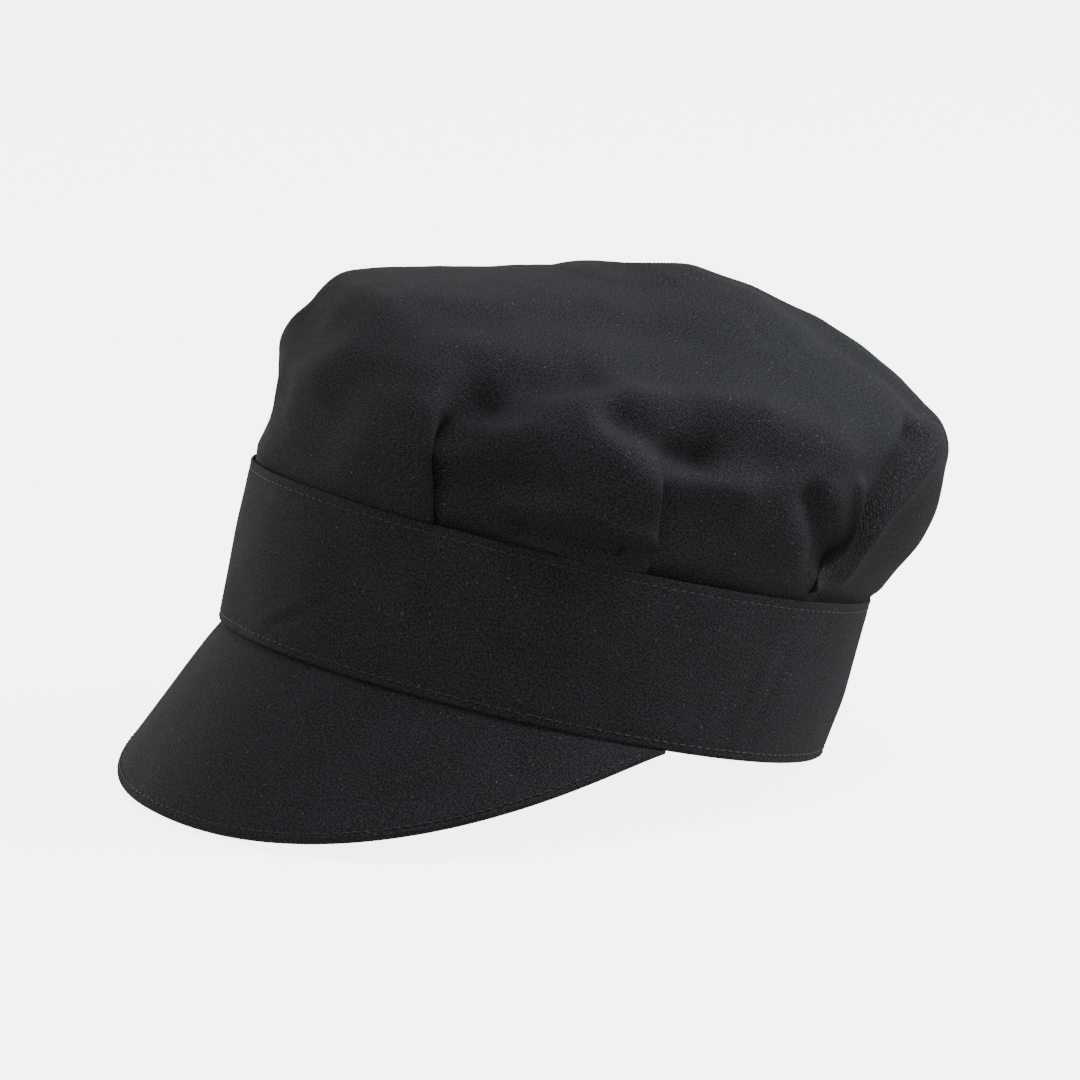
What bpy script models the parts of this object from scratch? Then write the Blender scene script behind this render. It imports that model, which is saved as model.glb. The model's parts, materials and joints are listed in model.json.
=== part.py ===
"""A baker's peaked cap: a soft pleated crown on a stiff band, with a boarded peak.

The cap stands the way it is put down on a table, on the front edge of its peak and on the
hem at its back, so the whole cap leans back a little.  Everything is first modelled in the
cap's own frame: the plane of the hem is z = 0, the front is -Y, the wearer's left is +X, and
phi is the angle around the head from the front towards +X.  One empty, cap_frame, then holds
the lean.  The band closes behind the head with a tab that peels off hook-and-loop tape.
"""
from math import atan2, cos, hypot, pi, radians, sin

import bmesh
import bpy
import numpy as np
from mathutils import Vector

# ---------------------------------------------------------------- driving dimensions, metres
HEAD_LENGTH = 0.1930        # outside of the band at its top, front to back
HEAD_WIDTH = 0.1890         # outside of the band at its top, side to side
BAND_HEIGHT = 0.0495
HEM_TAPER = 0.980           # hem outline over top outline
CLOTH = 0.0006              # the twill, one layer
INTERLINING = 0.0008        # stiff woven layer inside band and tab
SWEATBAND = 0.0010
SWEATBAND_HEIGHT = 0.032
BINDING_HEIGHT = 0.008      # tape over the raw edge of the crown seam
FIT_GAP = 0.0003            # clearance between pieces that touch

THREAD_RADIUS = 0.0002
STITCH_INSET = 0.0027       # stitch rows from the edge that they follow

PEAK_LENGTH = 0.0577        # down the slope, at the middle
PEAK_HALF_SPAN = 87.0       # degrees of the hem that each half of the peak is sewn to
PEAK_SLOPE = 67.0           # degrees below the plane of the hem, at the middle
PEAK_SIDE_SLOPE = 58.0      # the same at its ends
PEAK_FORWARD = 0.45         # 0 spreads the peak like a collar, 1 sends it straight ahead
PEAK_BOARD = 0.0016
PEAK_EDGE_INSET = 0.0045    # from the folded edge of the peak to its board
PEAK_SHORTEST = 0.004       # the cloth ends where the peak is this short

CROWN_HEIGHT = 0.083        # top of the crown over its seam
CROWN_OVERHANG = 0.0125     # how far the crown hangs out behind the band
CROWN_FRONT_SHOULDER = 0.058
PLEATS = 9
PLEAT_DEPTH = 0.0032
FIRST_PLEAT = 37.0          # degrees
CROWN_SINK = 0.006          # soft hollow between two folds on the top

TAB_ROOT = 212.0            # degrees, where the tab leaves the end of the band
TAB_LENGTH = 0.066          # along the band
TAB_HEIGHT = 0.030
TAB_FROM_TOP = 0.0035       # upper edge of the tab under the top of the band
TAPE_WIDTH = 0.025          # hook tape and loop tape
TAPE_THICKNESS = 0.0008
HOOK_LENGTH = 0.040
LOOP_LENGTH = 0.052
UNDERLAP_GAP = 0.0065       # from the end of the underlap to the root of the tab
STEP_LENGTH = 0.016         # the band turns in under the tab over this length
STEP_CLEARANCE = 0.004      # from that turn to the end of the tab, and to the loop tape

ARC_STEP = 5.0              # degrees between the sections of a band piece

# ---------------------------------------------------------------- what follows from them
TOP_A = HEAD_LENGTH / 2
TOP_B = HEAD_WIDTH / 2
METRES_PER_DEGREE = radians(1) * (TOP_A + TOP_B) / 2

INTERLINING_IN = CLOTH + FIT_GAP
LINING_IN = INTERLINING_IN + INTERLINING + FIT_GAP
STACK = LINING_IN + CLOTH                       # cloth, interlining and lining together
SWEATBAND_IN = STACK + FIT_GAP
HOOK_IN = STACK + FIT_GAP
LOOP_OUT = TAPE_THICKNESS + FIT_GAP             # loop tape over the face of the underlap
UNDERLAP_STEP = HOOK_IN + TAPE_THICKNESS + FIT_GAP + LOOP_OUT
THREAD_LIFT = THREAD_RADIUS + FIT_GAP

TAB_END = TAB_ROOT - TAB_LENGTH / METRES_PER_DEGREE
UNDERLAP_END = TAB_ROOT - UNDERLAP_GAP / METRES_PER_DEGREE
BAND_START = TAB_ROOT - 360.0
LOOP_END = UNDERLAP_END - STITCH_INSET / METRES_PER_DEGREE
LOOP_START = LOOP_END - LOOP_LENGTH / METRES_PER_DEGREE
STEP_END = min(TAB_END, LOOP_START) - STEP_CLEARANCE / METRES_PER_DEGREE
STEP_START = STEP_END - STEP_LENGTH / METRES_PER_DEGREE
TAB_HIGH = BAND_HEIGHT - TAB_FROM_TOP
TAB_LOW = TAB_HIGH - TAB_HEIGHT
TAPE_LOW = TAB_LOW + (TAB_HEIGHT - TAPE_WIDTH) / 2
TAPE_HIGH = TAPE_LOW + TAPE_WIDTH
PEAK_STACK = 2 * CLOTH + PEAK_BOARD + 2 * FIT_GAP

BLACK_TWILL = (0.018, 0.019, 0.020)
BLACK_LINING = (0.022, 0.023, 0.024)
BLACK_THREAD = (0.035, 0.036, 0.038)
STIFF_WHITE = (0.62, 0.61, 0.58)
BOARD_GREY = (0.20, 0.20, 0.21)
TAPE_BLACK = (0.015, 0.015, 0.016)


def smooth_step(value):
    """0 below 0, 1 above 1, and an S-curve between them."""
    value = min(max(value, 0.0), 1.0)
    return value * value * (3 - 2 * value)


def underlap_step(phi):
    """How far the band turns in, so that its underlap runs under the tab."""
    return -UNDERLAP_STEP * smooth_step((phi - STEP_START) / (STEP_END - STEP_START))


def ring_step(phi):
    """The same for a piece that runs all the way round: past the underlap it turns out again."""
    turn_out = smooth_step((phi % 360.0 - UNDERLAP_END) / (STEP_END - STEP_START))
    return underlap_step(phi % 360.0) * (1 - turn_out)


def oval(phi, outward, z):
    """A point of the tapered oval at height z, moved outward along the oval's normal."""
    angle = radians(phi)
    scale = HEM_TAPER + (1 - HEM_TAPER) * z / BAND_HEIGHT
    normal = Vector((TOP_A * sin(angle), -TOP_B * cos(angle), 0)).normalized()
    point = Vector((TOP_B * scale * sin(angle), -TOP_A * scale * cos(angle), z))
    return point + normal * outward


def band_path(phi, outward, z):
    """The same on the path of the band, from BAND_START round to UNDERLAP_END."""
    return oval(phi, outward + underlap_step(phi), z)


def ring_path(phi, outward, z):
    """The same on the path of a closed ring that lies against the inside of the band."""
    return oval(phi, outward + ring_step(phi), z)


def angles(first, last, step=ARC_STEP):
    """Evenly spaced angles from first to last, both included."""
    count = max(2, round(abs(last - first) / step) + 1)
    return [float(value) for value in np.linspace(first, last, count)]


# ---------------------------------------------------------------- making objects
def clear_scene():
    for item in list(bpy.data.objects):
        bpy.data.objects.remove(item, do_unlink=True)


def new_collection(name):
    collection = bpy.data.collections.new(name)
    bpy.context.scene.collection.children.link(collection)
    return collection


def plain_material(name, colour, roughness):
    material = bpy.data.materials.new(name)
    material.use_nodes = True
    shader = material.node_tree.nodes["Principled BSDF"]
    shader.inputs["Base Color"].default_value = (*colour, 1.0)
    shader.inputs["Roughness"].default_value = roughness
    shader.inputs["Metallic"].default_value = 0.0
    return material


def add_object(name, data, look, parent):
    """One named piece in the cap's collection, with a material of its own."""
    data.materials.append(plain_material(name, *look))
    piece = bpy.data.objects.new(name, data)
    cap_collection.objects.link(piece)
    piece.parent = parent
    return piece


def add_empty(name, location, parent=None):
    empty = bpy.data.objects.new(name, None)
    empty.location = location
    empty.parent = parent
    cap_collection.objects.link(empty)
    return empty


def solidify(piece, thickness):
    """Give an open surface its thickness, behind the side that its faces look to."""
    shell = piece.modifiers.new("thickness", "SOLIDIFY")
    shell.thickness = thickness
    shell.offset = -1.0
    shell.use_even_offset = True
    return shell


def loft(sections, closed=False, pole=None):
    """An open surface through rows of points; closed joins the last row to the first."""
    mesh = bmesh.new()
    rows = [[mesh.verts.new(point) for point in section] for section in sections]
    following = rows[1:] + rows[:1] if closed else rows[1:]
    for row, after in zip(rows, following):
        for i in range(len(row) - 1):
            mesh.faces.new((row[i], row[i + 1], after[i + 1], after[i]))
    if pole is not None:
        top = mesh.verts.new(pole)
        for row, after in zip(rows, following):
            mesh.faces.new((row[-1], top, after[-1]))
    data = bpy.data.meshes.new("loft")
    mesh.to_mesh(data)
    mesh.free()
    data.shade_smooth()
    return data


def sheet_piece(name, sections, thickness, look, parent, **options):
    piece = add_object(name, loft(sections, **options), look, parent)
    solidify(piece, thickness)
    return piece


def thread_piece(name, points, parent, closed=False):
    """A row of stitching, as one continuous thread that follows its seam."""
    curve = bpy.data.curves.new(name, "CURVE")
    curve.dimensions = "3D"
    curve.bevel_depth = THREAD_RADIUS
    curve.bevel_resolution = 0
    curve.use_fill_caps = True
    spline = curve.splines.new("POLY")
    spline.points.add(len(points) - 1)
    for target, point in zip(spline.points, points):
        target.co = (*point, 1.0)
    spline.use_cyclic_u = closed
    return add_object(name, curve, (BLACK_THREAD, 0.7), parent)


# ---------------------------------------------------------------- band
def wall(phis, outward, low, high, path=band_path):
    """Sections of a plain upright strip: each one runs down from high to low."""
    return [[path(phi, outward, high), path(phi, outward, low)] for phi in phis]


def make_band(cap_frame):
    phis = angles(BAND_START, UNDERLAP_END)
    hemmed = [[band_path(phi, 0, BAND_HEIGHT), band_path(phi, 0, 0),
               band_path(phi, -STACK, 0)] for phi in phis]
    twill = (BLACK_TWILL, 0.85)
    sheet_piece("band_outer", hemmed, CLOTH, twill, cap_frame)
    over_hem = CLOTH + FIT_GAP
    sheet_piece("band_interlining", wall(phis, -INTERLINING_IN, over_hem, BAND_HEIGHT),
                INTERLINING, (STIFF_WHITE, 0.9), cap_frame)
    sheet_piece("band_lining", wall(phis, -LINING_IN, over_hem, BAND_HEIGHT),
                CLOTH, (BLACK_LINING, 0.85), cap_frame)
    sheet_piece("sweatband", wall(phis, -SWEATBAND_IN, over_hem, over_hem + SWEATBAND_HEIGHT),
                SWEATBAND, (BLACK_LINING, 0.95), cap_frame)

    top_row = BAND_HEIGHT - STITCH_INSET
    under_binding = -SWEATBAND_IN - CLOTH - THREAD_LIFT
    under_sweatband = -SWEATBAND_IN - SWEATBAND - THREAD_LIFT
    rows = (("band_top_thread", band_path, THREAD_LIFT, top_row),
            ("band_hem_thread", band_path, THREAD_LIFT, STITCH_INSET),
            ("band_top_inner_thread", ring_path, under_binding, top_row),
            ("band_hem_inner_thread", band_path, under_sweatband, STITCH_INSET))
    for name, path, outward, z in rows:
        thread_piece(name, [path(phi, outward, z) for phi in phis], cap_frame)


def make_seam_binding(cap_frame):
    """The tape that covers the raw edge of the crown, a closed ring inside the band's top."""
    phis = angles(BAND_START, UNDERLAP_END)
    sections = wall(phis, -SWEATBAND_IN, BAND_HEIGHT - BINDING_HEIGHT, BAND_HEIGHT,
                    path=ring_path)
    sheet_piece("crown_seam_binding", sections, CLOTH, (BLACK_LINING, 0.9), cap_frame,
                closed=True)


# ---------------------------------------------------------------- crown
def crown_profile(back, rise):
    """Outward shift from the seam and height, at a share of the way from the seam to the top.

    back is 0 at the front and 1 at the back; rise runs from 0 at the seam to 1 at the pole.
    The sides leave the band upright at the front and lean out over it at the back, then turn
    in over a round shoulder to the nearly flat top.
    """
    wall_share = 0.36
    shoulder = CROWN_FRONT_SHOULDER + back * (CROWN_HEIGHT * 0.84 - CROWN_FRONT_SHOULDER)
    if rise <= wall_share:
        climb = rise / wall_share
        outward = CROWN_OVERHANG * (0.1 + 0.9 * back) * sin(pi * 0.62 * climb)
        return outward, shoulder * 0.8 * climb, 0.0
    climb = (rise - wall_share) / (1 - wall_share)
    outward = CROWN_OVERHANG * (0.1 + 0.9 * back) * sin(pi * 0.62)
    bend = smooth_step(climb / 0.35)
    height = shoulder * (0.8 + 0.2 * bend) + (CROWN_HEIGHT - shoulder) * smooth_step(climb)
    return outward * (1 - climb), height, climb


def crown_point(phi, rise):
    back = (1 - cos(radians(phi))) / 2
    outward, height, inward = crown_profile(back, rise)
    pleat = cos(radians((phi - FIRST_PLEAT) * PLEATS))
    fade = smooth_step(rise / 0.15) * smooth_step((1 - rise) / 0.6)
    step = ring_step(phi) * (1 - smooth_step(rise / 0.12))
    edge = oval(phi, 0, BAND_HEIGHT)
    normal = Vector((edge.x / TOP_B ** 2, edge.y / TOP_A ** 2, 0)).normalized()
    shift = -FIT_GAP + outward + step + PLEAT_DEPTH * pleat * fade
    point = (edge + normal * shift) * (1 - inward)
    hollow = CROWN_SINK * smooth_step(inward) * pleat * (1 - inward) * 0.5
    point.z = BAND_HEIGHT + FIT_GAP + height + hollow
    return point


def make_crown(cap_frame):
    around = PLEATS * 4
    phis = [360.0 * i / around for i in range(around)]
    rises = [0.0, 0.08, 0.20, 0.33, 0.45, 0.58, 0.76]
    sections = [[crown_point(phi, rise) for rise in reversed(rises)] for phi in phis]
    pole = Vector((0, 0, BAND_HEIGHT + FIT_GAP + CROWN_HEIGHT))
    sections = [list(reversed(section)) for section in sections]
    data = loft(sections, closed=True, pole=pole)
    data.flip_normals()
    crown = add_object("crown_cloth", data, (BLACK_TWILL, 0.85), cap_frame)
    smoothing = crown.modifiers.new("soft form", "SUBSURF")
    smoothing.levels = 1
    smoothing.render_levels = 1
    solidify(crown, CLOTH)


# ---------------------------------------------------------------- peak
def peak_reach(share):
    """Length of the peak down its slope; share is 0 at the middle and 1 at its end."""
    return PEAK_LENGTH * (1 - share ** 2.5) ** 1.25


def peak_inset(phi, inset):
    """Distance down the slope to a line this far inside the peak's edge, square to that edge."""
    share = abs(phi) / PEAK_HALF_SPAN
    turn = 0.001
    change = peak_reach(share + turn) - peak_reach(abs(share - turn))
    edge_slope = change / (2 * turn * PEAK_HALF_SPAN * METRES_PER_DEGREE)
    return peak_reach(share) - inset * hypot(1, edge_slope)


def peak_point(phi, down, lift):
    """A point down the slope of the peak, raised off its upper face by lift."""
    share = abs(phi) / PEAK_HALF_SPAN
    angle = radians(phi)
    radial = Vector((TOP_A * sin(angle), -TOP_B * cos(angle), 0)).normalized()
    heading = (radial * (1 - PEAK_FORWARD) + Vector((0, -PEAK_FORWARD, 0))).normalized()
    slope = radians(PEAK_SLOPE + (PEAK_SIDE_SLOPE - PEAK_SLOPE) * share ** 2)
    along = heading * cos(slope) + Vector((0, 0, -sin(slope)))
    across = (oval(phi + 0.5, 0, 0) - oval(phi - 0.5, 0, 0)).normalized()
    normal = across.cross(along).normalized()
    if normal.z < 0:
        normal = -normal
    return oval(phi, 0, 0) + along * (down + FIT_GAP) + normal * (lift - FIT_GAP)


def peak_end(shortest):
    """The angle at which the peak has become as short as this."""
    shares = np.linspace(0, 1, 2001)
    long_enough = [share for share in shares if peak_reach(share) >= shortest]
    return PEAK_HALF_SPAN * max(long_enough)


def peak_piece(name, sections, thickness, look, cap_frame):
    """Half of the piece, mirrored across the middle of the cap, then given its thickness."""
    for point in sections[0]:
        point.x = 0
    piece = add_object(name, loft(sections), look, cap_frame)
    mirror = piece.modifiers.new("other half", "MIRROR")
    mirror.merge_threshold = 0.0001
    solidify(piece, thickness)


def make_peak(cap_frame):
    phis = angles(0.0, peak_end(PEAK_SHORTEST), 3.5)
    upper = []
    under = []
    for phi in phis:
        reach = peak_reach(phi / PEAK_HALF_SPAN)
        upper.append([peak_point(phi, reach * part, 0) for part in (0, 0.33, 0.67, 1)]
                     + [peak_point(phi, reach, -PEAK_STACK)])
        inner = peak_inset(phi, CLOTH + FIT_GAP)
        lift = CLOTH - PEAK_STACK
        under.append([peak_point(phi, inner * part, lift) for part in (0, 0.33, 0.67, 1)])
    peak_piece("peak_upper", upper, CLOTH, (BLACK_TWILL, 0.85), cap_frame)
    peak_piece("peak_under", under, CLOTH, (BLACK_LINING, 0.85), cap_frame)

    board = []
    shortest_board = PEAK_SHORTEST + 3 * PEAK_EDGE_INSET
    for phi in angles(0.0, peak_end(shortest_board), 3.5):
        first = PEAK_EDGE_INSET / 2
        length = peak_inset(phi, PEAK_EDGE_INSET) - first
        lift = -CLOTH - FIT_GAP
        board.append([peak_point(phi, first + length * part, lift)
                      for part in (0, 0.33, 0.67, 1)])
    peak_piece("peak_board", board, PEAK_BOARD, (BOARD_GREY, 0.6), cap_frame)

    row_phis = angles(-peak_end(2 * STITCH_INSET), peak_end(2 * STITCH_INSET), 3.5)
    for name, lift in (("peak_edge_thread", THREAD_LIFT),
                       ("peak_edge_under_thread", -PEAK_STACK - THREAD_LIFT)):
        row = [peak_point(phi, peak_inset(phi, STITCH_INSET), lift) for phi in row_phis]
        thread_piece(name, row, cap_frame)


# ---------------------------------------------------------------- closure
def tab_phi(distance):
    """The angle at a distance along the tab from its root."""
    return TAB_ROOT - distance / METRES_PER_DEGREE


def make_tab(cap_frame):
    """The tab and everything sewn to it, hung on an empty at the foot of its fold line."""
    fold = oval(TAB_ROOT, 0, 0)
    tab_hinge = add_empty("tab_hinge", fold, cap_frame)
    tab_twill = (BLACK_TWILL, 0.85)

    def layer(name, outward, first, last, low, high, thickness, look):
        phis = angles(tab_phi(last), tab_phi(first))
        sections = [[point - fold for point in section]
                    for section in wall(phis, outward, low, high, path=oval)]
        sheet_piece(name, sections, thickness, look, tab_hinge)

    layer("tab_outer", 0, FIT_GAP, TAB_LENGTH, TAB_LOW, TAB_HIGH, CLOTH, tab_twill)
    layer("tab_interlining", -INTERLINING_IN, FIT_GAP, TAB_LENGTH, TAB_LOW, TAB_HIGH,
          INTERLINING, (STIFF_WHITE, 0.9))
    layer("tab_lining", -LINING_IN, FIT_GAP, TAB_LENGTH, TAB_LOW, TAB_HIGH, CLOTH,
          (BLACK_LINING, 0.85))
    hook_end = TAB_LENGTH - STITCH_INSET
    layer("hook_tape", -HOOK_IN, hook_end - HOOK_LENGTH, hook_end, TAPE_LOW, TAPE_HIGH,
          TAPE_THICKNESS, (TAPE_BLACK, 0.6))

    root_side = tab_phi(FIT_GAP + STITCH_INSET)
    end_side = tab_phi(TAB_LENGTH - STITCH_INSET)
    low = TAB_LOW + STITCH_INSET / 2
    high = TAB_HIGH - STITCH_INSET / 2
    along = angles(root_side, end_side)
    outline = [oval(phi, THREAD_LIFT, high) for phi in along]
    outline += [oval(phi, THREAD_LIFT, low) for phi in reversed(along)]
    thread_piece("tab_thread", [point - fold for point in outline], tab_hinge)


def make_loop_tape(cap_frame):
    """The loop tape lies on the face of the underlap, under the tab."""
    sections = wall(angles(LOOP_START, LOOP_END), LOOP_OUT, TAPE_LOW, TAPE_HIGH)
    sheet_piece("loop_tape", sections, TAPE_THICKNESS, (TAPE_BLACK, 0.95), cap_frame)


# ---------------------------------------------------------------- standing the cap up
def lean_back():
    """The lean that brings the peak's edge and the hem at the back down to one surface."""
    back = max(band_path(phi, 0, 0).y for phi in angles(TAB_END, UNDERLAP_END, 1.0))
    edge = [peak_point(phi, peak_reach(phi / PEAK_HALF_SPAN), lift)
            for phi in angles(0.0, peak_end(PEAK_SHORTEST), 1.0) for lift in (0, -PEAK_STACK)]
    return max(atan2(-point.z, back - point.y) for point in edge)


def stand_on_table(cap_frame):
    """Lean the cap, then put the origin under the middle of its box, on the table."""
    cap_frame.rotation_euler = (-lean_back(), 0, 0)
    bpy.context.view_layer.update()
    graph = bpy.context.evaluated_depsgraph_get()
    corners = []
    for piece in cap_collection.objects:
        if piece.type == "EMPTY":
            continue
        seen = piece.evaluated_get(graph)
        data = seen.to_mesh()
        corners += [seen.matrix_world @ vertex.co for vertex in data.vertices]
        seen.to_mesh_clear()
    low = [min(corner[axis] for corner in corners) for axis in range(3)]
    high = [max(corner[axis] for corner in corners) for axis in range(3)]
    cap_frame.location = (-(low[0] + high[0]) / 2, -(low[1] + high[1]) / 2, -low[2])
    bpy.context.view_layer.update()


clear_scene()
cap_collection = new_collection("peaked_chef_cap")
cap_frame = add_empty("cap_frame", (0, 0, 0))
make_band(cap_frame)
make_seam_binding(cap_frame)
make_crown(cap_frame)
make_peak(cap_frame)
make_loop_tape(cap_frame)
make_tab(cap_frame)
stand_on_table(cap_frame)
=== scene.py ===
# %% [markdown]
# A baker's peaked cap, in black twill.
#
# The cap is a handful of flat pieces of cloth sewn into a round thing: a band stiffened from
# inside, a round crown gathered into the band with knife pleats, and a peak of two cloths over
# a curved board. The solids that carry the sizes are loaded first and never changed. This
# script makes the cloth that is seen, in the same place and at the same size.

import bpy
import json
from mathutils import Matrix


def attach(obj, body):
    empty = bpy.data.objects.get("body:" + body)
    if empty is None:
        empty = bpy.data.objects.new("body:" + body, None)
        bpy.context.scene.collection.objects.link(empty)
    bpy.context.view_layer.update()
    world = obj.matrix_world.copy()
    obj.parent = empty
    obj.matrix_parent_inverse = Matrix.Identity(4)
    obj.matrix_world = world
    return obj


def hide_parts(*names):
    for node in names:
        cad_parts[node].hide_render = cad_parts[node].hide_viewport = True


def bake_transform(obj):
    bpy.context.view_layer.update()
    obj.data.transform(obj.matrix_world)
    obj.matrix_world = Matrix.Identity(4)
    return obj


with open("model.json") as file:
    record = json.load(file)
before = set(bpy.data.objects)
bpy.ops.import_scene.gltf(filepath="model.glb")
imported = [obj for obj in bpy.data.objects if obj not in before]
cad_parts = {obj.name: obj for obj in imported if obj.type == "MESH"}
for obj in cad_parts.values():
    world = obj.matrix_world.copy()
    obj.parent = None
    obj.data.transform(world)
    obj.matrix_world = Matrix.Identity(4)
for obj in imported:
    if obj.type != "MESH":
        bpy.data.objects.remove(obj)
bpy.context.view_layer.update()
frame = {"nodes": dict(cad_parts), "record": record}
print("solids", sorted(frame["nodes"]))

# %% [markdown]
# numpy does the sums on whole grids of points at once, which keeps a finely divided surface
# quick to make.

# %% Imports and units
import json
from math import atan2, cos, degrees, pi, radians, sin

import bpy
import numpy as np
from mathutils import Matrix, Vector

MM = 0.001

# %% [markdown]
# The cap lies back on the hem behind and the peak in front, so its own axes are tilted. It is
# far easier to shape it upright, with the plane of its hem at z = 0 and its front at -Y, and
# to tilt the finished points. The tilt comes from the record: the flat face of the hem looks
# straight down out of the upright cap.

# %% The upright cap
HEAD_LENGTH = 193.0 * MM
HEAD_WIDTH = 189.0 * MM
HEM_TAPER = 0.98

hem_face = next(m for m in frame["record"]["mounts"] if m["name"] == "hem_face")
lean = atan2(-hem_face["axis"][1], -hem_face["axis"][2])
tilt = np.array(Matrix.Rotation(-lean, 3, "X"))


def upright(node):
    """The points of one solid along the axes of the upright cap."""
    mesh = frame["nodes"][node].data
    points = np.zeros(len(mesh.vertices) * 3)
    mesh.vertices.foreach_get("co", points)
    return points.reshape(-1, 3) @ tilt


band = upright("band_outer")
BAND_HEIGHT = float(np.ptp(band[:, 2]))
middle = np.array([(band[:, 0].min() + band[:, 0].max()) / 2,
                   band[:, 1].min() + HEAD_LENGTH / 2, band[:, 2].min()])
print(f"lean {degrees(lean):.1f} degrees, band {BAND_HEIGHT / MM:.1f} mm high, "
      f"{np.ptp(band[:, 0]) / MM:.1f} mm wide")


def to_row(points):
    """From the upright cap to the place where the solids are."""
    return (np.asarray(points) + middle) @ tilt.T


# %% [markdown]
# Seen from above, the band is an oval that is a little smaller at the hem. Every piece is placed
# by an angle around the head, phi, in degrees from the front towards the wearer's left, by how
# far it lies outside the band's face, and by its height. Working on arrays, one call places a
# whole grid.

# %% Points around the head
TOP_A = HEAD_LENGTH / 2
TOP_B = HEAD_WIDTH / 2
PER_DEGREE = radians(1) * (TOP_A + TOP_B) / 2


def oval(phi, outward, z):
    """Points of the tapered oval, moved outward along its normal."""
    phi, outward, z = np.broadcast_arrays(np.radians(phi), outward, z)
    scale = HEM_TAPER + (1 - HEM_TAPER) * np.clip(z / BAND_HEIGHT, 0, 1)
    nx, ny = TOP_A * np.sin(phi), -TOP_B * np.cos(phi)
    length = np.hypot(nx, ny)
    return np.stack([TOP_B * scale * np.sin(phi) + nx / length * outward,
                     -TOP_A * scale * np.cos(phi) + ny / length * outward, z], axis=-1)


def smooth_step(value):
    """0 below 0, 1 above 1, and an S-curve between them."""
    value = np.clip(value, 0.0, 1.0)
    return value * value * (3 - 2 * value)


# %% [markdown]
# The band isn't a closed ring. Behind the head its right end carries a tab, and its left end
# steps in and runs under that tab. The step has the depth that the layers between need.

# %% Where the band turns in under the tab
TAB_ROOT = 212.0
UNDERLAP_GAP = 6.5 * MM
UNDERLAP_END = TAB_ROOT - UNDERLAP_GAP / PER_DEGREE
BAND_START = TAB_ROOT - 360.0
TAB_LENGTH = 66.0 * MM
UNDERLAP_STEP = 5.1 * MM
STEP_LENGTH = 16.0 * MM / PER_DEGREE
STEP_CLEARANCE = 4.0 * MM
STEP_END = TAB_ROOT - (TAB_LENGTH + STEP_CLEARANCE) / PER_DEGREE


def underlap_step(phi):
    return -UNDERLAP_STEP * smooth_step((phi - STEP_END + STEP_LENGTH) / STEP_LENGTH)


def ring_step(phi):
    """The same for a piece that runs all the way round: it turns out again past the underlap."""
    phi = np.mod(phi, 360.0)
    return underlap_step(phi) * (1 - smooth_step((phi - UNDERLAP_END) / STEP_LENGTH))


# %% [markdown]
# Almost every piece of cloth here is a grid of points: columns around the head, rows up it.
# One helper turns such a grid into a mesh, with a map in metres along the cloth, so that the
# weave has its true size everywhere and follows the cut of the piece and not the space around
# it. A second one gives the cloth its thickness and hands the piece to its body.

# %% Cloth from a grid
def grid_mesh(name, points, cloth_map, closed=False, pole=None):
    """points is rows x columns x 3, upright; cloth_map is rows x columns x 2, in metres."""
    rows, columns = points.shape[:2]
    vertices = to_row(points.reshape(-1, 3))
    index = np.arange(rows * columns).reshape(rows, columns)
    right = np.roll(index, -1, axis=1) if closed else index[:, 1:]
    left = index if closed else index[:, :-1]
    faces = np.stack([left[:-1], right[:-1], right[1:], left[1:]], axis=-1).reshape(-1, 4)
    faces = faces.tolist()
    if pole is not None:
        vertices = np.vstack([vertices, to_row(np.array([pole]))])
        faces += [[a, b, rows * columns] for a, b in zip(left[-1].tolist(), right[-1].tolist())]
        cloth_map = np.vstack([cloth_map.reshape(-1, 2), [[0.0, 0.0]]])
    mesh = bpy.data.meshes.new(name)
    mesh.from_pydata(vertices.tolist(), [], faces)
    corner = np.zeros(len(mesh.loops), np.int32)
    mesh.loops.foreach_get("vertex_index", corner)
    layer = mesh.uv_layers.new(name="cloth")
    layer.uv.foreach_set("vector", cloth_map.reshape(-1, 2)[corner].astype(np.float32).ravel())
    mesh.shade_smooth()
    return mesh


def add_piece(name, mesh, material, body="cap", thickness=None, replaces=()):
    """Link a mesh as a named piece, thicken it inward and let it ride on its body."""
    piece = bpy.data.objects.new(name, mesh)
    bpy.context.scene.collection.objects.link(piece)
    piece.data.materials.append(material)
    if thickness:
        shell = piece.modifiers.new("thickness", "SOLIDIFY")
        shell.thickness = thickness
        shell.offset = -1.0
    if body:
        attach(piece, body)
    if replaces:
        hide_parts(*replaces)
    return piece


# %% [markdown]
# A finish is a tree of shader nodes. This short helper adds a node, sets its inputs from a
# dictionary and joins those that are given another node's output, so that each finish below
# reads as a recipe.

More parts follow.
